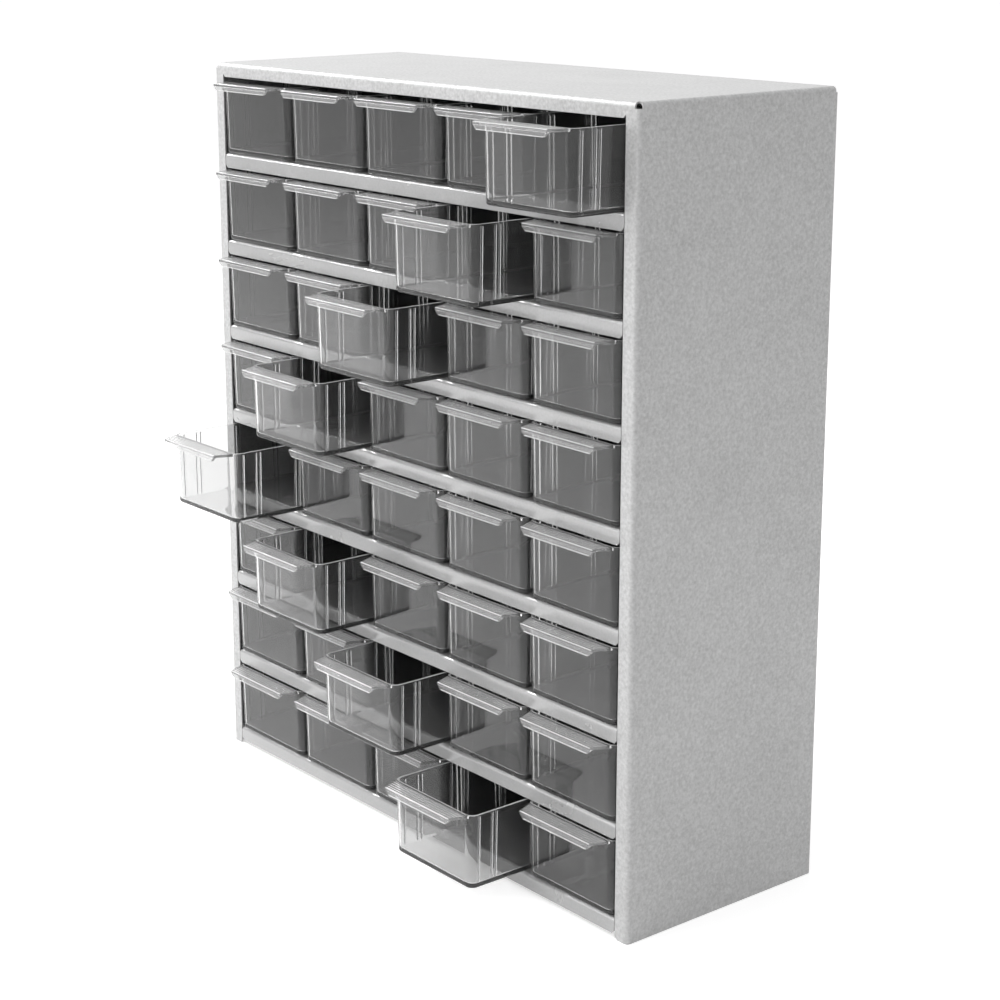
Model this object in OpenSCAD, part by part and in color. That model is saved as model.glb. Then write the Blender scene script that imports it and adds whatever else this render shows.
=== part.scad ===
// Parts bin cabinet: a bent sheet-metal casing holding rows of clear drawers.
// Millimetres, +Z up. The drawers pull out towards -Y. The origin is on the
// ground, at the centre of the casing's footprint.

/* [Layout] */
// Rows of drawers, counted from the top
rows = 8; // [2:1:9]
// Drawers in each row, counted from the left
columns = 5; // [2:1:5]
// Height from one shelf to the next
row_pitch = 45.15; // [38:0.05:60]

/* [Casing] */
// Outer width
casing_w = 318; // [260:1:400]
// Outer depth
casing_d = 120; // [90:1:200]
// Thickness of the casing's sheet
sheet_t = 0.8; // [0.6:0.1:1.2]
// Outer radius of the casing's bends
bend_r = 2.2; // [1.8:0.1:3]
// Width of the flanges at the two sides of the front
side_flange_w = 8; // [7:0.1:12]
// Height of the flange over the top row
top_flange_h = 7; // [5:0.1:8]
// Width of the flanges round the back
rear_flange_w = 12; // [8:1:20]
// Slit left at the corners where two bends meet
corner_relief = 0.6; // [0.3:0.1:1]
// Chamfer on the corners of flanges and lips
corner_cut = 1.6; // [1:0.1:2]
// Height of the lowest shelf's top over the ground
base_h = 9.8; // [8.5:0.1:16]
// Room between the top row's ceiling height and the outside of the top
head_room = 1; // [0.8:0.1:4]

/* [Shelves] */
// Thickness of the shelves' sheet
shelf_t = 0.8; // [0.6:0.1:1.2]
// Outer radius of the shelves' bends
lip_r = 1.8; // [1.4:0.1:2.4]
// Height of the lip along a shelf's front
lip_h = 7.4; // [6:0.1:8]
// Height of the flanges that fix a shelf to the casing's sides
shelf_flange_h = 6; // [4:0.5:10]
// Gap between a lip's end and the casing's side flange
lip_gap = 0.3; // [0.1:0.1:1]
// Height of the pressed guide beads between the drawers
guide_h = 3; // [2:0.1:4]
// Gap between a guide bead and a drawer, each side
guide_clear = 0.5; // [0.3:0.1:0.6]
// Distance of a guide bead's ends from the front and the back
guide_inset = 11; // [8:1:20]

/* [Wall fixing] */
// Distance between the two holes in the back panel
fixing_pitch = 200; // [100:5:220]
// Radius of each hole
fixing_r = 2.75; // [2:0.05:3.5]
// Distance of the holes below the top
fixing_drop = 24; // [22:1:34]

/* [Drawers] */
// Thickness of the walls
wall_t = 1.3; // [1:0.1:1.8]
// Thickness of the floor
floor_t = 2.2; // [1:0.1:2.6]
// Radius of the upright corners at the rim
corner_r = 5; // [2.8:0.1:6]
// How far each wall leans in from the rim to the floor
draft = 0.7; // [0.6:0.1:1.6]
// Gap between two neighbouring rims
drawer_gap = 1.6; // [1.6:0.1:6]
// Gap between the outer drawers and the side flanges
end_clear = 0.6; // [0.3:0.1:1]
// Gap between a rim and the lip above it
head_clear = 1.0; // [0.6:0.1:2]
// Gap between a drawer's floor and its shelf
slide_gap = 0.3; // [0.2:0.1:0.5]
// How far a closed drawer stands proud of the casing's front
front_proud = 1.5; // [0.5:0.1:2]
// Gap between a closed drawer and the back panel
rear_clear = 0.5; // [0.3:0.1:2]
// Gap between the catch on a drawer's back and the shelf above
catch_clear = 2.4; // [1.5:0.1:2.6]
// Width of the catch on a drawer's back
catch_w = 30; // [20:1:36]

/* [Divider slots] */
// Distance of the first slot behind the front
slot_first = 15; // [12:0.5:20]
// Distance from one slot to the next
slot_pitch = 24; // [12:0.5:40]
// Width of a slot
slot_w = 1.7; // [1.5:0.1:3.5]
// Width of the ribs beside a slot
rib_w = 0.8; // [0.6:0.1:1.2]
// How far the ribs stand out of the wall
rib_d = 0.9; // [0.5:0.1:1.2]
// Distance of the ribs' tops below the rim
rib_drop = 1.2; // [0.8:0.1:3]
// Distance of the single ribs from the round corners
rib_lead = 1.2; // [0.8:0.1:3]

/* [Handles] */
// How far a handle stands out of the drawer's front
tab_out = 8.8; // [6:0.1:12]
// Thickness of the handle's top
tab_t = 1.4; // [1:0.1:2]
// Height of the handle's turned-down edge
tab_edge_h = 3.6; // [2.5:0.1:5]
// Distance of the handle's root from each side of the drawer
tab_root_in = 2.3; // [0.5:0.1:4]
// Distance of the handle's front corners from each side of the drawer
tab_front_in = 5.9; // [3:0.1:8]
// How much shorter the turned-down edge is at its foot, each end
tab_cut = 2.4; // [1:0.1:3]

/* [Pose] */
// How far the fifth drawer of row 1 stands open
open_r1_c5 = 27; // [0:0.5:60]
// How far the fourth drawer of row 2 stands open
open_r2_c4 = 29.5; // [0:0.5:60]
// How far the third drawer of row 3 stands open
open_r3_c3 = 30; // [0:0.5:60]
// How far the second drawer of row 4 stands open
open_r4_c2 = 27; // [0:0.5:60]
// How far the first drawer of row 5 stands open
open_r5_c1 = 36.5; // [0:0.5:60]
// How far the second drawer of row 6 stands open
open_r6_c2 = 29; // [0:0.5:60]
// How far the third drawer of row 7 stands open
open_r7_c3 = 29; // [0:0.5:60]
// How far the fourth drawer of row 8 stands open
open_r8_c4 = 31.5; // [0:0.5:60]

/* [Hidden] */
$fn = 48;
eps = 0.01;

casing_h = base_h + rows*row_pitch + head_room;
front_y = -casing_d/2;
panel_y = casing_d/2 - 2*sheet_t;   // front face of the back panel
opening_w = casing_w - 2*side_flange_w;
lip_w = opening_w - 2*lip_gap;

drawer_w = (opening_w - 2*end_clear - (columns - 1)*drawer_gap)/columns;
drawer_l = panel_y - rear_clear - front_y + front_proud;
drawer_h = row_pitch - lip_h - head_clear - slide_gap;
column_pitch = drawer_w + drawer_gap;
catch_h = row_pitch - shelf_t - catch_clear - slide_gap;
lean = draft/drawer_h;
bead_w = drawer_gap + 2*draft - 2*guide_clear;
bead_slope = 0.15;
bead_hollow = bead_w/2 - shelf_t - bead_slope*guide_h;
catch_root = 2;

// The open drawers: row, column and distance.
opened = [
    [1, 5, open_r1_c5], [2, 4, open_r2_c4], [3, 3, open_r3_c3],
    [4, 2, open_r4_c2], [5, 1, open_r5_c1], [6, 2, open_r6_c2],
    [7, 3, open_r7_c3], [8, 4, open_r8_c4]
];

function shelf_z(r) = base_h + (rows - r)*row_pitch;
function column_x(c) = (c - (columns + 1)/2)*column_pitch;
// How far a wall has leaned in at height z, to a thousandth, so that the
// flat walls and the round corners meet exactly.
function inset(z) = round(1000*lean*(drawer_h - z))/1000;
function open_by(r, c) =
    let (hit = [for (o = opened) if (o[0] == r && o[1] == c) o[2]])
    len(hit) > 0 ? hit[0] : 0;
function drawer_name(r, c) = str("drawer_r", r, "_c", c);
function shelf_name(r) = str("shelf_", r);

// ---- bent sheet -------------------------------------------------------

// An angle in plan: its outer corner is at the origin, one leg runs along
// +X for a and the other along +Y for b, and the bend is rounded.
module angle(a, b, t, r) {
    translate([r, 0]) square([a - r, t]);
    translate([0, r]) square([t, b - r]);
    intersection() {
        translate([r, r]) difference() {
            circle(r);
            circle(r - t);
        }
        square(r);
    }
}

// Extrudes an outline drawn in X and Z along Y, from y0 to y1.
module along_y(y0, y1) {
    translate([0, y1, 0]) rotate([90, 0, 0])
        linear_extrude(y1 - y0) children();
}

// Extrudes an outline drawn in Y and Z along X, from x0 to x1.
module along_x(x0, x1) {
    translate([x0, 0, 0]) rotate([90, 0, 90])
        linear_extrude(x1 - x0) children();
}

// Puts the children at both sides of the cabinet.
module both_sides() {
    children();
    mirror([1, 0, 0]) children();
}

// ---- casing: one sheet bent over both sides and the top ---------------

module hoop() {
    along_y(front_y + bend_r, -front_y - bend_r) both_sides()
        translate([-casing_w/2, casing_h]) mirror([0, 1])
            angle(casing_w/2 + eps, casing_h, sheet_t, bend_r);
}

// The flanges of one side, at the front or the back, with the cut corner
// at the foot.
module side_flange(width) {
    difference() {
        translate([-casing_w/2, front_y, 0])
            linear_extrude(casing_h - bend_r - corner_relief)
                angle(width, bend_r + eps, sheet_t, bend_r);
        along_y(front_y - 1, front_y + bend_r)
            translate([width - casing_w/2, 0]) rotate(45)
                square(corner_cut*sqrt(2), center = true);
    }
}

// The flange that hangs from the top between the two side flanges, and the
// bend above it, which runs on over them.
module top_flange(height, side_width) {
    reach = casing_w/2 - bend_r - corner_relief;
    intersection() {
        along_x(-reach, reach)
            translate([front_y, casing_h]) mirror([0, 1])
                angle(bend_r + eps, height, sheet_t, bend_r);
        along_y(front_y - 1, front_y + bend_r + 1) union() {
            translate([-reach, casing_h - bend_r - corner_relief - eps])
                square([2*reach, bend_r + corner_relief + eps]);
            flange_outline(casing_w/2 - side_width, height);
        }
    }
}

// Front view of the hanging part, with its two lower corners cut.
module flange_outline(half, height) {
    polygon([
        [-half - eps, casing_h], [half + eps, casing_h],
        [half + eps, casing_h - height + corner_cut],
        [half - corner_cut, casing_h - height],
        [corner_cut - half, casing_h - height],
        [-half - eps, casing_h - height + corner_cut]
    ]);
}

module casing() {
    color("Silver") {
        hoop();
        both_sides() side_flange(side_flange_w);
        top_flange(top_flange_h, side_flange_w);
        mirror([0, 1, 0]) {
            both_sides() side_flange(rear_flange_w);
            top_flange(rear_flange_w, rear_flange_w);
        }
    }
}

// ---- back panel: a flat sheet inside the rear flanges -----------------

module back_panel() {
    half = casing_w/2 - bend_r - lip_gap;
    color("Gray") difference() {
        along_y(panel_y, panel_y + sheet_t) translate([-half, 0])
            square([2*half, casing_h - bend_r - lip_gap]);
        for (s = [-1, 1])
            translate([s*fixing_pitch/2, panel_y - 1, casing_h - fixing_drop])
                rotate([-90, 0, 0]) cylinder(h = sheet_t + 2, r = fixing_r);
    }
}

// ---- shelves: a sheet with a lip, side flanges and guide beads --------

module lip_outline() {
    half = lip_w/2;
    difference() {
        translate([-half, -lip_h]) square([lip_w, lip_h]);
        both_sides() {
            translate([-half, -lip_h]) rotate(45)
                square(corner_cut*sqrt(2), center = true);
            difference() {
                translate([-half - 1, -lip_r]) square([lip_r + 1, lip_r + 1]);
                translate([lip_r - half, -lip_r]) circle(lip_r);
            }
        }
    }
}

module lip() {
    intersection() {
        along_x(-lip_w/2, lip_w/2) translate([front_y, 0]) mirror([0, 1])
            angle(bend_r + 1, lip_h, shelf_t, lip_r);
        along_y(front_y - 1, front_y + bend_r + 2) lip_outline();
    }
}

// Side flanges of a shelf, turned down against the casing's sides.
module shelf_angle(height) {
    along_y(front_y + bend_r + lip_gap, panel_y)
        translate([sheet_t - casing_w/2, 0]) mirror([0, 1])
            angle(casing_w/2 - sheet_t + eps, height, shelf_t, lip_r);
}

// A bead pressed up out of the sheet, seen from the front. Its hollow below
// is the same outline, drawn smaller by the sheet's thickness. A bead too
// narrow for a hollow is pressed shut.
module bead_outline(shrink, foot_z) {
    foot = bead_w/2 - shrink;
    crown = foot - bead_slope*guide_h;
    polygon([
        [-foot, foot_z], [foot, foot_z], [foot, -shrink],
        [crown, guide_h - shrink], [-crown, guide_h - shrink],
        [-foot, -shrink]
    ]);
}

module beads(shrink, foot_z) {
    for (k = [0:columns])
        translate([column_x(k) + column_pitch/2, 0, 0])
            along_y(front_y + guide_inset + shrink,
                    panel_y - guide_inset - shrink)
                bead_outline(shrink, foot_z);
}

module sheet_shelf(flange_h) {
    difference() {
        union() {
            both_sides() shelf_angle(flange_h);
            lip();
            beads(0, -shelf_t/2);
        }
        if (bead_hollow > 0) beads(shelf_t, -shelf_t - 1);
    }
}

module shelf(r) {
    color("Gainsboro") translate([0, 0, shelf_z(r)])
        sheet_shelf(shelf_flange_h);
}

// The lowest shelf stands on its side flanges and a third one at the back.
module bottom_shelf() {
    inner = casing_w/2 - sheet_t;
    color("Gainsboro") translate([0, 0, base_h]) {
        sheet_shelf(base_h);
        along_x(-inner, inner) translate([panel_y, 0]) rotate(180)
            angle(2*lip_r, base_h, shelf_t, lip_r);
    }
}

// ---- drawers ----------------------------------------------------------

// A block whose upright corners are rounded and whose walls lean in
// towards the floor. w, l and r are its width, length and corner radius at
// the rim, and y runs back from its front.
module lean_block(w, l, r, z0, z1) {
    i0 = inset(z0);
    i1 = inset(z1);
    along_y(r, l - r) polygon([
        [i0 - w/2, z0], [w/2 - i0, z0], [w/2 - i1, z1], [i1 - w/2, z1]
    ]);
    along_x(r - w/2, w/2 - r) polygon([
        [i0, z0], [l - i0, z0], [l - i1, z1], [i1, z1]
    ]);
    for (x = [r - w/2, w/2 - r], y = [r, l - r])
        translate([x, y, z0]) cylinder(h = z1 - z0, r1 = r - i0, r2 = r - i1);
}

module tub() {
    difference() {
        lean_block(drawer_w, drawer_l, corner_r, 0, drawer_h);
        translate([0, wall_t, 0])
            lean_block(drawer_w - 2*wall_t, drawer_l - 2*wall_t,
                       corner_r - wall_t, floor_t, drawer_h + 1);
    }
}

// One rib up the inside of a side wall, leaning with it.
module rib() {
    z0 = floor_t - eps;
    z1 = drawer_h - rib_drop;
    face = drawer_w/2 - wall_t;
    along_y(-rib_w/2, rib_w/2) polygon([
        [face - inset(z0) - rib_d, z0], [face - inset(z0) + wall_t/2, z0],
        [face - inset(z1) + wall_t/2, z1], [face - inset(z1) - rib_d, z1]
    ]);
}

module divider_slots() {
    last = drawer_l - slot_first;
    for (y = [slot_first:slot_pitch:last], s = [-1, 1])
        translate([0, y + s*(slot_w + rib_w)/2, 0]) both_sides() rib();
    for (y = [corner_r + rib_lead, drawer_l - corner_r - rib_lead])
        translate([0, y, 0]) both_sides() rib();
}

// Plan of the handle, narrower at the front and reaching back to y.
module tab_outline(y) {
    root = drawer_w/2 - tab_root_in;
    front = drawer_w/2 - tab_front_in;
    polygon([
        [-root, y], [-root, 0], [-front, -tab_out],
        [front, -tab_out], [root, 0], [root, y]
    ]);
}

// The handle: a flat ledge with its front edge turned down. The ends of the
// turned-down edge are cut aslant.
module tab() {
    front = drawer_w/2 - tab_front_in;
    foot = front - tab_cut;
    translate([0, 0, drawer_h - tab_t])
        linear_extrude(tab_t) tab_outline(0.8*wall_t);
    along_y(-tab_out, wall_t - tab_out) polygon([
        [-foot, drawer_h - tab_edge_h], [foot, drawer_h - tab_edge_h],
        [front, drawer_h - tab_t], [front, drawer_h - tab_t/2],
        [-front, drawer_h - tab_t/2], [-front, drawer_h - tab_t]
    ]);
}

// The catch that meets the lip above when the drawer is pulled right out.
module catch() {
    translate([-catch_w/2, drawer_l - wall_t, drawer_h - catch_root])
        cube([catch_w, wall_t, catch_h - drawer_h + catch_root]);
}

module drawer(r, c) {
    color("LightSteelBlue")
        translate([column_x(c), front_y - front_proud - open_by(r, c),
                   shelf_z(r) + slide_gap]) {
            tub();
            divider_slots();
            tab();
            catch();
        }
}

// ---- the whole cabinet ------------------------------------------------

casing();
back_panel();
bottom_shelf();
for (r = [1:rows - 1])
    shelf(r);
for (r = [1:rows]) for (c = [1:columns])
    drawer(r, c);
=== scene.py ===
# %% [markdown]
# # A parts bin cabinet
#
# The object is a small steel cabinet with forty clear drawers, about as tall
# as a desk lamp. The sheet-metal parts come from the CAD model and keep its
# shape. Here they get their paint. The drawers are built again as one refined
# mesh, because clear plastic shows every fillet, and each copy then stands
# where the CAD model has its drawer. At the end come the room, the lamps and
# the camera.

import math

import bmesh
import bpy
from mathutils import Matrix, Vector


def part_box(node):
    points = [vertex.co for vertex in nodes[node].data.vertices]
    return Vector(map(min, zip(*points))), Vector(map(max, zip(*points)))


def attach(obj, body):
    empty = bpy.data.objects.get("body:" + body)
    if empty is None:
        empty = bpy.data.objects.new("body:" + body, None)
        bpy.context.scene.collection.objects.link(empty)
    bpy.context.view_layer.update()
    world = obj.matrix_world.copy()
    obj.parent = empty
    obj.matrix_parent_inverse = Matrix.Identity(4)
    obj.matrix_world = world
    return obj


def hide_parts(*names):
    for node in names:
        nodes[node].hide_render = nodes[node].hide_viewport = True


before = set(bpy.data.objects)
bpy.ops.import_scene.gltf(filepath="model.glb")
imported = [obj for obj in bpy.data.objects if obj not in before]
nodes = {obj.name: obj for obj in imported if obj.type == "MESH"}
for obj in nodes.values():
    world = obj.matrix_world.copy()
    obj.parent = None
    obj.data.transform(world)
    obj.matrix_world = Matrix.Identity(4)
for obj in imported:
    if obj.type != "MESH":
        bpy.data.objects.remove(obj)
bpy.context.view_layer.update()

# %% [markdown]
# ## Small helpers
#
# Blender measures in metres, and the drawing of this cabinet is in
# millimetres, so one factor turns one into the other. Materials are made of
# many small nodes, so a helper makes a node, sets its plain inputs and links
# the rest in one line. That keeps each material readable as a recipe.

# %% Units and node helpers
MM = 0.001


def put(tree, kind, settings=None, **inputs):
    """Adds a node. An input may be a plain value or another node's output."""
    node = tree.nodes.new("ShaderNode" + kind)
    for key, value in (settings or {}).items():
        setattr(node, key, value)
    for key, value in inputs.items():
        name = key.replace("_", " ")
        socket = node.inputs[int(name[1:]) if name[1:].isdigit() else name]
        if isinstance(value, bpy.types.NodeSocket):
            tree.links.new(value, socket)
        else:
            socket.default_value = value
    return node


def bare(owner):
    """Turns on the nodes of a material or world, and empties its tree."""
    owner.use_nodes = True
    owner.node_tree.nodes.clear()
    return owner.node_tree


def finish_tree(tree, shader, kind="Material"):
    """Wires a shader to the output of its material or world."""
    end = put(tree, "Output" + kind)
    tree.links.new(shader.outputs[0], end.inputs["Surface"])


def add_object(name, data):
    """A new object of the scene."""
    obj = bpy.data.objects.new(name, data)
    bpy.context.scene.collection.objects.link(obj)
    return obj


def maths(tree, operation, a, b, clamp=False):
    """One step of arithmetic, as a socket."""
    return put(tree, "Math", {"operation": operation, "use_clamp": clamp},
               i0=a, i1=b).outputs[0]


def remap(tree, value, low, high, to_low=0.0, to_high=1.0):
    """Stretches the range low to high over to_low to to_high, smoothly."""
    return put(tree, "MapRange", {"interpolation_type": "SMOOTHSTEP"},
               Value=value, From_Min=low, From_Max=high,
               To_Min=to_low, To_Max=to_high).outputs[0]


def blend(tree, share, a, b):
    """Mixes two colours."""
    node = put(tree, "Mix", {"data_type": "RGBA"}, Factor=share)
    for socket, value in ((node.inputs[6], a), (node.inputs[7], b)):
        if isinstance(value, bpy.types.NodeSocket):
            tree.links.new(value, socket)
        else:
            socket.default_value = value
    return node.outputs[2]


def grey(level):
    """A neutral colour, fully opaque."""
    return (level, level, level, 1.0)


def new_group(name, inputs, outputs):
    """An empty shader node group with its named sockets."""
    group = bpy.data.node_groups.new(name, "ShaderNodeTree")
    for label, value in inputs.items():
        made = group.interface.new_socket(
            name=label, in_out="INPUT", socket_type="NodeSocketFloat")
        made.default_value = value
    for label in outputs:
        group.interface.new_socket(
            name=label, in_out="OUTPUT", socket_type="NodeSocketFloat")
    start = group.nodes.new("NodeGroupInput")
    end = group.nodes.new("NodeGroupOutput")
    return group, start.outputs, end.inputs


def use_group(tree, group, **values):
    """Places a node group and gives its outputs."""
    return put(tree, "Group", {"node_tree": group}, **values).outputs


print("helpers ready")

# %% [markdown]
# ## Shared surface effects
#
# Four effects are shared by several materials. Paint and plastic both get
# uneven gloss from hands. Every painted sheet has the same fine hammered skin,
# is rubbed a little at its edges and gathers some dust on what faces up. Each
# effect is a node group with its own inputs, built once, so that all the
# materials age in the same way and one edit reaches them all.

# %% Group: hammered skin of the paint
FINER = 1.6                             # grains for every cell, along a line
CELL_RELIEF, GRAIN_RELIEF = 0.7, 0.3    # shares of the relief
GRAIN_TONE, CLOUD_TONE = 0.88, 0.12     # shares of the tone
CLOUD_SCALE = 34.0

hammered, inp, out = new_group(
    "hammered_skin", {"Cells per metre": 420.0, "Spread": 1.0},
    ["Height", "Tone"])
where = put(hammered, "TexCoord").outputs["Object"]
cells = put(hammered, "TexVoronoi", {"feature": "SMOOTH_F1"},
            Vector=where, Scale=inp["Cells per metre"], Smoothness=0.8,
            Randomness=1.0).outputs["Distance"]
finer = maths(hammered, "MULTIPLY", inp["Cells per metre"], FINER)
grains = put(hammered, "TexNoise", Vector=where, Scale=finer,
             Detail=3.0, Roughness=0.6).outputs[0]
clouds = put(hammered, "TexNoise", Vector=where, Scale=CLOUD_SCALE,
             Detail=4.0, Roughness=0.55).outputs[0]
height = maths(hammered, "ADD",
               maths(hammered, "MULTIPLY", cells, CELL_RELIEF),
               maths(hammered, "MULTIPLY", grains, GRAIN_RELIEF))
hammered.links.new(height, out["Height"])
tone = maths(hammered, "ADD",
             maths(hammered, "MULTIPLY", grains, GRAIN_TONE),
             maths(hammered, "MULTIPLY", clouds, CLOUD_TONE))
tone = maths(hammered, "MULTIPLY", maths(hammered, "SUBTRACT", tone, 0.5),
             inp["Spread"])
hammered.links.new(tone, out["Tone"])
print("group", hammered.name, "outputs", len(hammered.interface.items_tree))

# %% Group: worn edges
FLAT, SHARP = 0.99, 0.86    # cosines between the true and a rounded normal
PATCH_SCALE, PATCH_LOW, PATCH_HIGH = 90.0, 0.38, 0.6

worn, inp, out = new_group(
    "edge_wear", {"Reach": 0.6 * MM, "Amount": 1.0}, ["Mask"])
rounded = put(worn, "Bevel", {"samples": 4}, Radius=inp["Reach"]).outputs[0]
straight = put(worn, "NewGeometry").outputs["Normal"]
same = put(worn, "VectorMath", {"operation": "DOT_PRODUCT"},
           i0=rounded, i1=straight).outputs["Value"]
edge = remap(worn, same, FLAT, SHARP)
patches = put(worn, "TexNoise",
              Vector=put(worn, "TexCoord").outputs["Object"],
              Scale=PATCH_SCALE, Detail=5.0, Roughness=0.7).outputs[0]
broken = maths(worn, "MULTIPLY", edge,
               remap(worn, patches, PATCH_LOW, PATCH_HIGH))
mask = maths(worn, "MULTIPLY", broken, inp["Amount"], clamp=True)
worn.links.new(mask, out["Mask"])
print("group", worn.name)

# %% Group: gloss made uneven by hands
MARK_LOW, MARK_HIGH = 0.35, 0.68    # noise levels of clean and handled spots

handled, inp, out = new_group(
    "handling_marks", {"Smooth": 0.3, "Dull": 0.45, "Scale": 18.0},
    ["Roughness"])
where = put(handled, "TexCoord").outputs["Object"]
swirls = put(handled, "TexNoise", Vector=where, Scale=inp["Scale"],
             Detail=6.0, Roughness=0.62, Distortion=0.6).outputs[0]
share = remap(handled, swirls, MARK_LOW, MARK_HIGH)
span = maths(handled, "SUBTRACT", inp["Dull"], inp["Smooth"])
rough = maths(handled, "ADD", inp["Smooth"],
              maths(handled, "MULTIPLY", span, share))
handled.links.new(rough, out["Roughness"])
print("group", handled.name)

# %% Group: dust on what faces up
SLOPE, LEVEL = 0.6, 1.0     # upward part of the normal, from bare to dusty
SPECK_SCALE, SPECK_LOW, SPECK_HIGH = 260.0, 0.42, 0.7

dusty, inp, out = new_group("settled_dust", {"Amount": 0.3}, ["Mask"])
facing = put(dusty, "SeparateXYZ",
             Vector=put(dusty, "NewGeometry").outputs["Normal"]).outputs["Z"]
specks = put(dusty, "TexNoise",
             Vector=put(dusty, "TexCoord").outputs["Object"],
             Scale=SPECK_SCALE, Detail=4.0, Roughness=0.75).outputs[0]
laid = maths(dusty, "MULTIPLY", remap(dusty, facing, SLOPE, LEVEL),
             remap(dusty, specks, SPECK_LOW, SPECK_HIGH))
dusty.links.new(maths(dusty, "MULTIPLY", laid, inp["Amount"]), out["Mask"])
print("group", dusty.name)

# %% [markdown]
# ## Silver-grey enamel
#
# The casing and the shelves of the real cabinet are steel, sprayed in a light
# silver-grey that dries to a finely hammered skin. It could be a metal
# shader, but bare metal would mirror the room. A paint with a little metal in
# it scatters most of the light and keeps a soft sheen. The casing is seen
# most and has the full skin. The shelves have a smoother, darker paint under a
# clear coat, which makes their lips shine; the darker tone is painted shade
# for the dim inside of the cabinet. The back panel has a duller paint.

# %% Enamel recipe
PRIMER = grey(0.33)     # darker coat that shows where an edge has worn
DUST = grey(0.62)
WEAR_REACH, WEAR_AMOUNT = 0.7 * MM, 0.4
SHEET_MARKS = 14.0      # noise scale of the handling marks
SKIN_RELIEF, COAT_ROUGHNESS = 0.5, 0.18


def enamel(name, tone, metal, cells, depth, spread, smooth, dull, dust, coat):
    """Silver-grey paint on sheet steel.

    cells, depth and spread shape the hammered skin: cells per metre, how deep
    they are and how much their tone varies. smooth and dull are the roughness
    of clean and of handled spots. coat is the share of clear coat.
    """
    made = bpy.data.materials.new(name)
    tree = bare(made)
    skin = use_group(tree, hammered, Cells_per_metre=cells, Spread=spread)
    light = put(tree, "HueSaturation", Color=grey(tone), Value=maths(
        tree, "ADD", skin["Tone"], 1.0)).outputs[0]
    rubbed = use_group(tree, worn, Reach=WEAR_REACH,
                       Amount=WEAR_AMOUNT)["Mask"]
    settled = use_group(tree, dusty, Amount=dust)["Mask"]
    colour = blend(tree, settled, blend(tree, rubbed, light, PRIMER), DUST)
    gloss = use_group(tree, handled, Smooth=smooth, Dull=dull,
                      Scale=SHEET_MARKS)
    relief = put(tree, "Bump", Strength=SKIN_RELIEF, Distance=depth,
                 Height=skin["Height"]).outputs[0]
    shader = put(tree, "BsdfPrincipled", Base_Color=colour, Metallic=metal,
                 Roughness=gloss["Roughness"], Normal=relief,
                 Coat_Weight=coat, Coat_Roughness=COAT_ROUGHNESS)
    finish_tree(tree, shader)
    return made


casing_enamel = enamel(
    "casing_enamel", tone=0.53, metal=0.3, cells=430.0, depth=0.3 * MM,
    spread=0.9, smooth=0.38, dull=0.5, dust=0.12, coat=0.0)
# Darker tone: painted shade for the dim inside of the cabinet.
shaded_shelf_enamel = enamel(
    "shaded_shelf_enamel", tone=0.4, metal=0.35, cells=520.0, depth=0.02 * MM,
    spread=0.35, smooth=0.2, dull=0.28, dust=0.04, coat=0.8)
back_enamel = enamel(
    "back_enamel", tone=0.5, metal=0.2, cells=430.0, depth=0.1 * MM,
    spread=0.9, smooth=0.42, dull=0.55, dust=0.0, coat=0.0)
print("enamels:", casing_enamel.name, shaded_shelf_enamel.name, back_enamel.name)

# %% [markdown]
# ## Bent sheet
#
# The sheet parts keep their CAD meshes, since every bend, slit and hole is
# already there. A punched edge is never perfectly sharp, though, and light
# catches on its tiny rounding. A Weld modifier joins the loose facets of the
# imported mesh, and a planar Decimate makes each flat side one face, since
# rounding the rim of a hole would otherwise crease the long thin triangles
# that lead to it. Then a Bevel modifier rounds the sharp edges by a fifth of
# a millimetre, and Weighted Normal keeps the flat faces flat in the light.

# %% Dress the sheet parts
EDGE_ROUND, ROUND_STEPS = 0.22 * MM, 2
WELD_DISTANCE = 0.001 * MM
SAME_FACE, SHARP_EDGE = math.radians(0.5), math.radians(32)


def soften(obj):
    """Rounds an object's sharp edges without touching its mesh."""
    obj.modifiers.new("weld", "WELD").merge_threshold = WELD_DISTANCE
    whole = obj.modifiers.new("whole faces", "DECIMATE")
    whole.decimate_type, whole.angle_limit = "DISSOLVE", SAME_FACE
    bevel = obj.modifiers.new("edge rounding", "BEVEL")
    bevel.width, bevel.segments = EDGE_ROUND, ROUND_STEPS
    bevel.limit_method, bevel.angle_limit = "ANGLE", SHARP_EDGE
    obj.modifiers.new("flat faces", "WEIGHTED_NORMAL").keep_sharp = True


def dress(name, material):
    """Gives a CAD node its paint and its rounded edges."""
    obj = nodes[name]
    obj.data.materials.clear()
    obj.data.materials.append(material)
    soften(obj)


dress("casing", casing_enamel)
dress("back_panel", back_enamel)
shelves = sorted(n for n in nodes if "shelf" in n)
for name in shelves:
    dress(name, shaded_shelf_enamel)
print("dressed casing, back panel and", len(shelves), "shelves")

# %% [markdown]
# ## The tub of a drawer
#
# Each drawer is one moulding: a tub with leaning walls, round corners and a
# fillet where the walls meet the floor. The outline of the rim is a rounded
# rectangle, and every lower ring is the same outline moved inwards, because
# the walls lean. So the tub is a stack of such rings, from the middle of the
# underside, up the outside, over the rim and down the inside to the floor.
# Quads between two rings make clean smooth walls, which clear plastic needs,
# since a bent highlight gives away every bad face.

# %% Sizes of a drawer
WIDTH, LENGTH, HEIGHT = 58.88 * MM, 119.4 * MM, 36.45 * MM
WALL, FLOOR = 1.3 * MM, 2.2 * MM
CORNER, LEAN = 5.0 * MM, 0.7 * MM
FOOT_FILLET, INNER_FILLET, RIM_ROUND = 1.5 * MM, 0.8 * MM, 0.35 * MM
CORNER_STEPS, FILLET_STEPS, RIM_STEPS = 10, 5, 2


def inset(z):
    """How far a wall has leaned in at height z."""
    return LEAN * (1.0 - z / HEIGHT)


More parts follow.
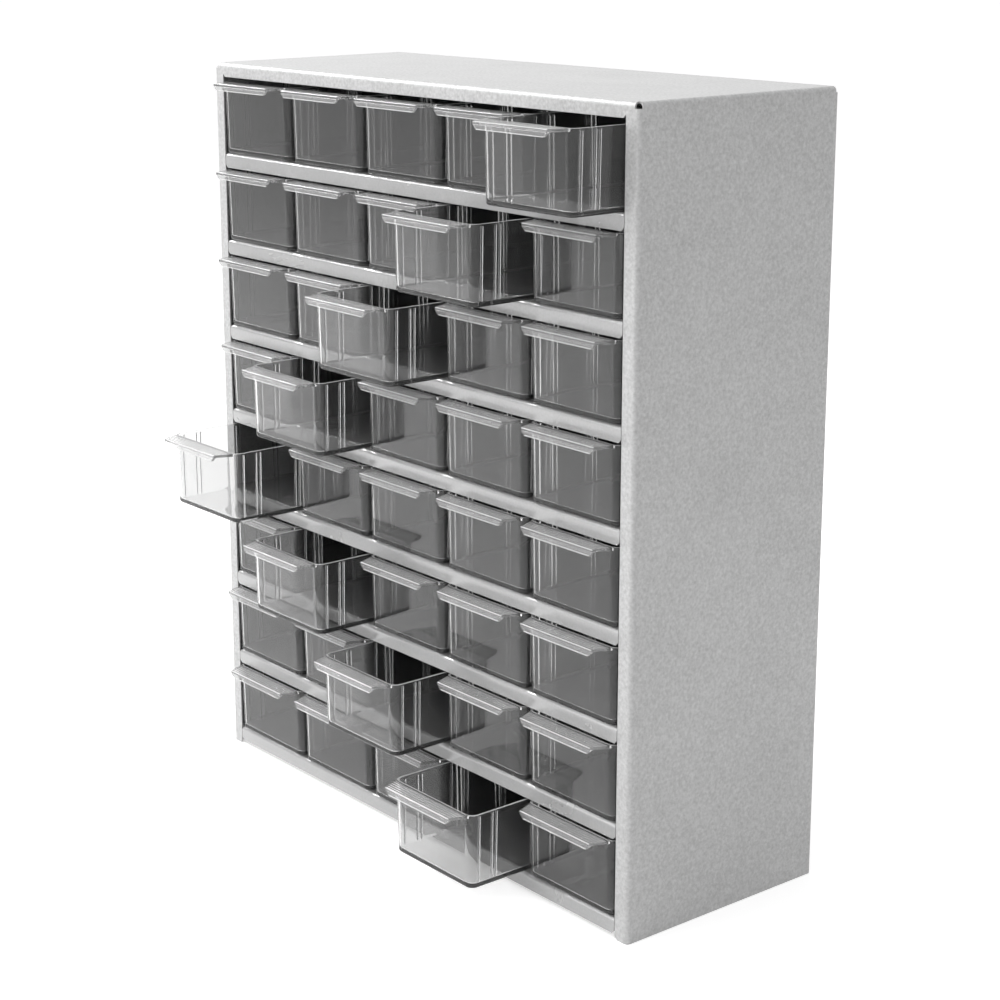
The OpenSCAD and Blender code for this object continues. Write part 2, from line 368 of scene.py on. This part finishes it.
def ring(inward):
    """The rim's outline, moved inwards: points in X and Y, anticlockwise."""
    half, radius = WIDTH / 2 - inward, CORNER - inward
    centres = [(half - radius, inward + radius, -90),
               (half - radius, LENGTH - inward - radius, 0),
               (radius - half, LENGTH - inward - radius, 90),
               (radius - half, inward + radius, 180)]
    points = []
    for cx, cy, start in centres:
        for k in range(CORNER_STEPS + 1):
            a = math.radians(start + 90.0 * k / CORNER_STEPS)
            points.append((cx + radius * math.cos(a),
                           cy + radius * math.sin(a)))
    return points


def arc(cx, cz, radius, first, last, steps):
    """Points (inward, z) on a quarter of a fillet."""
    for k in range(steps + 1):
        a = math.radians(first + (last - first) * k / steps)
        yield cx + radius * math.cos(a), cz + radius * math.sin(a)


def section():
    """The tub's wall in section, as (inward, z), from under the floor."""
    low = inset(FOOT_FILLET)
    line = list(arc(low + FOOT_FILLET, FOOT_FILLET, FOOT_FILLET,
                    -90, -180, FILLET_STEPS))
    high = HEIGHT - RIM_ROUND
    line += arc(inset(high) + RIM_ROUND, high, RIM_ROUND, 180, 90, RIM_STEPS)
    line += arc(WALL - RIM_ROUND, high, RIM_ROUND, 90, 0, RIM_STEPS)
    deep = FLOOR + INNER_FILLET
    line += arc(WALL + inset(deep) + INNER_FILLET, deep, INNER_FILLET,
                180, 270, FILLET_STEPS)
    return line


def build_tub():
    """One closed mesh of rings, with flat ends under and over the floor."""
    made = bmesh.new()
    rings = [[made.verts.new((x, y, z)) for x, y in ring(inward)]
             for inward, z in section()]
    count = len(rings[0])
    for lower, upper in zip(rings, rings[1:]):
        for k in range(count):
            n = (k + 1) % count
            made.faces.new((lower[k], lower[n], upper[n], upper[k]))
    made.faces.new(list(reversed(rings[0])))
    made.faces.new(rings[-1])
    bmesh.ops.recalc_face_normals(made, faces=made.faces)
    return made


tub = build_tub()
print("tub:", len(tub.verts), "points,", len(tub.faces), "faces")

# %% [markdown]
# ## Ribs, handle and catch
#
# Pairs of ribs up the side walls make slots for dividers, and a single rib
# stands beside each round corner. The handle is a flat ledge, narrower at the
# front, where its edge is turned down with its ends cut aslant. A catch at
# the back keeps the drawer from falling out. Each could be a separate object
# standing in the wall, but in clear plastic the hidden part would show. So
# they are made as small solids with softened edges and joined to the tub by a
# Boolean union, which leaves one skin.

# %% Ribs, handle and catch
SLOT_FIRST, SLOT_PITCH, SLOT_GAP = 15.0 * MM, 24.0 * MM, 1.7 * MM
RIB_WIDTH, RIB_DEPTH, RIB_DROP = 0.8 * MM, 0.9 * MM, 1.2 * MM
RIB_LEAD, RIB_FOOT = 1.2 * MM, 0.6 * FLOOR
HANDLE_OUT, HANDLE_THICK, HANDLE_EDGE = 8.8 * MM, 1.4 * MM, 3.6 * MM
HANDLE_ROOT, HANDLE_FRONT, HANDLE_CUT = 2.3 * MM, 5.9 * MM, 2.4 * MM
HANDLE_SUNK = 0.8 * WALL        # how far it reaches into the wall
CATCH_WIDTH, CATCH_TOP, CATCH_ROOT = 30.0 * MM, 41.65 * MM, 2.0 * MM
RIB_ROUND, HANDLE_ROUND, CATCH_ROUND = 0.28 * MM, 0.4 * MM, 0.3 * MM
FLAT_ENOUGH = 0.3               # radians, for edges that stay unrounded
SMOOTH_BELOW = math.radians(35)


def solid(outline_low, outline_high):
    """A closed block between two outlines of as many points."""
    made = bmesh.new()
    low = [made.verts.new(p) for p in outline_low]
    high = [made.verts.new(p) for p in outline_high]
    made.faces.new(list(reversed(low)))
    made.faces.new(high)
    for k in range(len(low)):
        n = (k + 1) % len(low)
        made.faces.new((low[k], low[n], high[n], high[k]))
    bmesh.ops.recalc_face_normals(made, faces=made.faces)
    return made


def round_edges(made, width, segments, chosen):
    """Rounds the edges of a block that chosen(edge) picks."""
    edges = [e for e in made.edges if chosen(e)]
    bmesh.ops.bevel(made, geom=edges, offset=width, segments=segments,
                    profile=0.5, affect="EDGES")
    return made


def rib(y, side):
    """One rib up a side wall: side 1 is the right wall, -1 the left."""
    def outline(z):
        face = WIDTH / 2 - WALL - inset(z)
        tip, root = face - RIB_DEPTH, face + WALL / 2
        return [(side * tip, y - RIB_WIDTH / 2, z),
                (side * root, y - RIB_WIDTH / 2, z),
                (side * root, y + RIB_WIDTH / 2, z),
                (side * tip, y + RIB_WIDTH / 2, z)]
    made = solid(outline(RIB_FOOT), outline(HEIGHT - RIB_DROP))
    free = WIDTH / 2 - WALL - RIB_DEPTH / 2
    return round_edges(made, RIB_ROUND, 3, lambda e: all(
        abs(v.co.x) < free for v in e.verts))


def mesh_object(name, made):
    """Turns a finished block into an object of the scene."""
    data = bpy.data.meshes.new(name)
    made.to_mesh(data)
    made.free()
    return add_object(name, data)


def baked(obj):
    """A new mesh that holds what the object's modifiers make of its own."""
    graph = bpy.context.evaluated_depsgraph_get()
    return bpy.data.meshes.new_from_object(obj.evaluated_get(graph))


def join(base, other):
    """Melts another object into base by a Boolean union, and removes it."""
    boolean = base.modifiers.new("join", "BOOLEAN")
    boolean.operation, boolean.solver = "UNION", "EXACT"
    boolean.object = other
    result = baked(base)
    base.modifiers.clear()
    base.data = result
    bpy.data.objects.remove(other)


def handle_end(side):
    """The corners of the handle's section at one end, round from the back."""
    back, tip, inside = HANDLE_SUNK, -HANDLE_OUT, WALL - HANDLE_OUT
    top, under, foot = HEIGHT, HEIGHT - HANDLE_THICK, HEIGHT - HANDLE_EDGE
    root, front = WIDTH / 2 - HANDLE_ROOT, WIDTH / 2 - HANDLE_FRONT
    wider = (HANDLE_FRONT - HANDLE_ROOT) / HANDLE_OUT * WALL
    corners = [(root, back, top), (root, 0.0, top), (front, tip, top),
               (front, tip, under), (front - HANDLE_CUT, tip, foot),
               (front - HANDLE_CUT + wider, inside, foot),
               (front + wider, inside, under), (root, 0.0, under),
               (root, back, under)]
    return [(side * x, y, z) for x, y, z in corners]


def build_handle():
    """A ledge, narrower at the front, where its edge is turned down."""
    made = bmesh.new()
    a, b = ([made.verts.new(p) for p in handle_end(side)] for side in (-1, 1))
    for end in (a, b):
        for corners in ((0, 1, 7, 8), (1, 2, 3, 6, 7), (3, 4, 5, 6)):
            made.faces.new([end[k] for k in corners])
    for strip in ((0, 1, 2), (2, 3, 4), (4, 5), (5, 6), (6, 7, 8), (8, 0)):
        made.faces.new([a[k] for k in strip] + [b[k] for k in reversed(strip)])
    bmesh.ops.recalc_face_normals(made, faces=made.faces)
    return round_edges(made, HANDLE_ROUND, 4, lambda e: min(
        v.co.y for v in e.verts) < -MM and e.calc_face_angle() > FLAT_ENOUGH)


def build_catch():
    """The block on the rear wall that meets the lip above."""
    y0, y1 = LENGTH - WALL, LENGTH
    z0, z1 = HEIGHT - CATCH_ROOT, CATCH_TOP
    half = CATCH_WIDTH / 2
    foot = [(-half, y0, z0), (half, y0, z0), (half, y1, z0), (-half, y1, z0)]
    made = solid(foot, [(x, y, z1) for x, y, _ in foot])
    return round_edges(made, CATCH_ROUND, 2, lambda e: all(
        v.co.z > z0 + MM for v in e.verts))


drawer_shape = mesh_object("drawer_shape", tub)
join(drawer_shape, mesh_object("handle", build_handle()))
join(drawer_shape, mesh_object("catch", build_catch()))
places = [CORNER + RIB_LEAD, LENGTH - CORNER - RIB_LEAD]
apart = (SLOT_GAP + RIB_WIDTH) / 2
y = SLOT_FIRST
while y <= LENGTH - SLOT_FIRST:
    places += [y - apart, y + apart]
    y += SLOT_PITCH
for y in places:
    for side in (-1, 1):
        join(drawer_shape, mesh_object("rib", rib(y, side)))
for polygon in drawer_shape.data.polygons:
    polygon.use_smooth = True
drawer_shape.data.set_sharp_from_angle(angle=SMOOTH_BELOW)
drawer_shape.modifiers.new("flat faces", "WEIGHTED_NORMAL").keep_sharp = True
drawer_mesh = baked(drawer_shape)
drawer_mesh.name = "drawer_moulding"
bpy.data.objects.remove(drawer_shape)
print("drawer:", len(drawer_mesh.polygons), "faces,", 2 * len(places), "ribs")

# %% [markdown]
# ## Clear plastic
#
# The drawers are clear mouldings. A Glass shader would do, but Principled
# with transmission also takes a roughness that changes over the surface, for
# the faint haze of use. Real mouldings are never quite flat either, so slow
# vertical waves bend the light a little. The grip is the same plastic, left
# matt by its mould and finely ridged for the fingers. The rim and the edges
# of the grip take a paler, half-clouded plastic, a painted highlight where
# light would catch. The index of refraction is lower than a real plastic's,
# because the all-white room would otherwise mirror too strongly in the
# closed fronts. Lamps pass through thin clear walls, which a ray tracer finds
# hard, so shadow rays see a plain transparent sheet instead.

# %% Clear plastic
REFRACTION = 1.38
WAVE_SCALE, WAVE_STRETCH, WAVE_RELIEF = 120.0, (1.0, 1.0, 0.03), 0.3
RIDGE_BANDS = 190.0     # Wave texture scale for ridges some 1.7 mm apart
RIDGE_RELIEF = 0.6
PLASTIC_MARKS = 40.0    # noise scale of the handling marks
LIGHT_PASSED = 0.6      # what a clear sheet lets through to its shadow
# Painted highlight: paler, half-clouded plastic on the grip's edges and the
# rim.
GRIP_HIGHLIGHT_BAND = 0.38 * MM   # how far an edge of the grip looks pale
RIM_HIGHLIGHT_BAND, RIM_HIGHLIGHT_OVER = 0.6 * RIM_ROUND, 0.1 * MM
FRONT_FACE = -0.1 * MM  # what lies before this is the handle
WALLS, GRIP, PAINTED_HIGHLIGHT = 0, 1, 2


def clear_plastic(name, tint, clear, smooth, dull, wave, ridge=0.0):
    """See-through plastic.

    clear is the share of light that passes, smooth and dull are the roughness
    of clean and of handled spots, wave and ridge the depth of the relief.
    """
    made = bpy.data.materials.new(name)
    tree = bare(made)
    where = put(tree, "TexCoord").outputs["Object"]
    long = put(tree, "Mapping", Vector=where, Scale=WAVE_STRETCH).outputs[0]
    waves = put(tree, "TexNoise", Vector=long, Scale=WAVE_SCALE, Detail=2.0,
                Roughness=0.5).outputs[0]
    relief = put(tree, "Bump", Strength=WAVE_RELIEF, Distance=wave,
                 Height=waves).outputs[0]
    if ridge:
        bands = put(tree, "TexWave", {"bands_direction": "Y"}, Vector=where,
                    Scale=RIDGE_BANDS).outputs["Fac"]
        relief = put(tree, "Bump", Strength=RIDGE_RELIEF, Distance=ridge,
                     Height=bands, Normal=relief).outputs[0]
    gloss = use_group(tree, handled, Smooth=smooth, Dull=dull,
                      Scale=PLASTIC_MARKS)
    shader = put(tree, "BsdfPrincipled", Base_Color=grey(tint),
                 Roughness=gloss["Roughness"], IOR=REFRACTION,
                 Transmission_Weight=clear, Normal=relief)
    passing = put(tree, "BsdfTransparent", Color=grey(LIGHT_PASSED))
    shadow = put(tree, "LightPath").outputs["Is Shadow Ray"]
    both = put(tree, "MixShader", Fac=shadow)
    tree.links.new(shader.outputs[0], both.inputs[1])
    tree.links.new(passing.outputs[0], both.inputs[2])
    finish_tree(tree, both)
    return made


# The grip's edges and the rim take the painted highlight.
def finish_of(centre):
    """Which material the face with this centre takes."""
    if centre.y < FRONT_FACE:
        in_front = centre.y < GRIP_HIGHLIGHT_BAND - HANDLE_OUT
        at_foot = centre.z < HEIGHT - HANDLE_EDGE + GRIP_HIGHLIGHT_BAND
        at_head = in_front and HEIGHT - GRIP_HIGHLIGHT_BAND < centre.z < HEIGHT
        return PAINTED_HIGHLIGHT if at_foot or at_head else GRIP
    on_rim = HEIGHT - RIM_HIGHLIGHT_BAND < centre.z < HEIGHT + RIM_HIGHLIGHT_OVER
    return PAINTED_HIGHLIGHT if on_rim else WALLS


drawer_mesh.materials.clear()
for made in (
        clear_plastic("clear_moulding", tint=0.74, clear=0.97, smooth=0.02,
                      dull=0.05, wave=0.02 * MM),
        clear_plastic("matt_grip", tint=0.84, clear=0.87, smooth=0.05,
                      dull=0.1, wave=0.0, ridge=0.12 * MM),
        # Painted highlight: a paler plastic where light would catch on the
        # edges.
        clear_plastic("painted_highlight_edge", tint=0.95, clear=0.5, smooth=0.08,
                      dull=0.16, wave=0.0)):
    drawer_mesh.materials.append(made)
for polygon in drawer_mesh.polygons:
    polygon.material_index = finish_of(polygon.center)
highlit = sum(p.material_index == PAINTED_HIGHLIGHT for p in drawer_mesh.polygons)
print("materials:", [m.name for m in drawer_mesh.materials],
      "pale faces:", highlit)

# %% [markdown]
# ## Forty drawers in their places
#
# All the drawers come from one mould, so all share one mesh. Each copy stands
# where the CAD model has its own drawer, open or closed, rides on that
# drawer's body and stands for its node.

# %% Place the drawers
drawer_nodes = sorted(n for n in nodes if n.startswith("drawer_"))
for name in drawer_nodes:
    low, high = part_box(name)
    copy = add_object("clear_" + name, drawer_mesh)
    copy.location = ((low.x + high.x) / 2, low.y + HANDLE_OUT, low.z)
    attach(copy, name)
    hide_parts(name)
print("placed", len(drawer_nodes), "drawers")

# %% [markdown]
# ## Floor and light
#
# The photograph was taken against pure white. The floor is a pale plane that
# glows a little where it is seen, so that it melts into the background, and
# the room is one even white. Camera, mirror and see-through rays meet that
# white at full strength, so that the background, the gloss and the clear
# plastic agree, while the light that falls on the cabinet comes from soft
# lamps and a dimmer room.

# %% Floor, room and lamps
ROOM_LIGHT, FLOOR_GLOW = 0.45, 0.62
FLOOR_REACH, FLOOR_TONE, FLOOR_ROUGHNESS = 20.0, 0.8, 0.9
MIDDLE = Vector((0.0, 0.0, 0.19))   # the cabinet's middle


def seen_directly(tree):
    """1 for what the camera sees, also by reflection or through plastic."""
    path = put(tree, "LightPath").outputs
    seen = maths(tree, "MAXIMUM", path["Is Camera Ray"],
                 maths(tree, "MAXIMUM", path["Is Glossy Ray"],
                       path["Is Transmission Ray"]))
    scattered = maths(tree, "MINIMUM", path["Diffuse Depth"], 1.0)
    return maths(tree, "MULTIPLY", seen, maths(
        tree, "SUBTRACT", 1.0, scattered))


world = bpy.data.worlds.new("studio")
bpy.context.scene.world = world
tree = bare(world)
strength = maths(tree, "ADD", ROOM_LIGHT, maths(
    tree, "MULTIPLY", seen_directly(tree), 1.0 - ROOM_LIGHT))
sky = put(tree, "Background", Color=grey(1.0), Strength=strength)
finish_tree(tree, sky, "World")

made = bmesh.new()
bmesh.ops.create_grid(made, x_segments=8, y_segments=8, size=FLOOR_REACH)
floor = mesh_object("floor", made)
pale_floor = bpy.data.materials.new("pale_floor")
tree = bare(pale_floor)
glow = maths(tree, "MULTIPLY", seen_directly(tree), FLOOR_GLOW)
shader = put(tree, "BsdfPrincipled", Base_Color=grey(FLOOR_TONE),
             Roughness=FLOOR_ROUGHNESS, Emission_Color=grey(1.0),
             Emission_Strength=glow)
finish_tree(tree, shader)
floor.data.materials.append(pale_floor)


def softbox(name, place, size, power):
    """A large square lamp that looks at the cabinet's middle."""
    lamp = bpy.data.lights.new(name, "AREA")
    lamp.shape, lamp.size, lamp.energy = "SQUARE", size, power
    obj = add_object(name, lamp)
    obj.location = place
    way = MIDDLE - Vector(place)
    obj.rotation_mode = "QUATERNION"
    obj.rotation_quaternion = way.to_track_quat("-Z", "Y")


softbox("top_softbox", (-0.2, -0.4, 1.68), size=1.9, power=11.0)
softbox("front_softbox", (-0.7, -1.6, 0.9), size=1.2, power=12.0)
softbox("edge_softbox", (-1.15, -0.36, 1.1), size=0.34, power=12.0)

# %% [markdown]
# ## Camera
#
# The camera stands to the right of the cabinet's front, a little above it.
# Its place and lens were worked out from the corners of the casing in the
# picture, with the cabinet's real sizes. A lens of some 78 mm keeps the
# uprights almost parallel.

# %% Camera
TURN, TILT, ROLL = (math.radians(a) for a in (52.021, 13.591, -0.409))
EYE = Vector((803.35, -671.79, 450.19)) * MM
FOCAL_PX, MIDDLE_PX, SIDE_PX = 2172.8, (430.0, 430.0), 1000.0
SENSOR = 36.0
NEAREST, FARTHEST = 0.01, 50.0

ahead = Vector((-math.sin(TURN) * math.cos(TILT),
                math.cos(TURN) * math.cos(TILT), -math.sin(TILT)))
right = Vector((math.cos(TURN), math.sin(TURN), 0.0))
up = right.cross(ahead)
right, up = (math.cos(ROLL) * right + math.sin(ROLL) * up,
             math.cos(ROLL) * up - math.sin(ROLL) * right)
camera = add_object("camera", bpy.data.cameras.new("camera"))
camera.data.sensor_width = SENSOR
camera.data.lens = FOCAL_PX / SIDE_PX * SENSOR
camera.data.shift_x = (SIDE_PX / 2 - MIDDLE_PX[0]) / SIDE_PX
camera.data.shift_y = (MIDDLE_PX[1] - SIDE_PX / 2) / SIDE_PX
camera.data.clip_start, camera.data.clip_end = NEAREST, FARTHEST
camera.matrix_world = Matrix((
    (right.x, up.x, -ahead.x, EYE.x),
    (right.y, up.y, -ahead.y, EYE.y),
    (right.z, up.z, -ahead.z, EYE.z),
    (0.0, 0.0, 0.0, 1.0)))
bpy.context.scene.camera = camera
bpy.context.scene.view_settings.view_transform = "Standard"
print("camera lens:", round(camera.data.lens, 1), "mm")
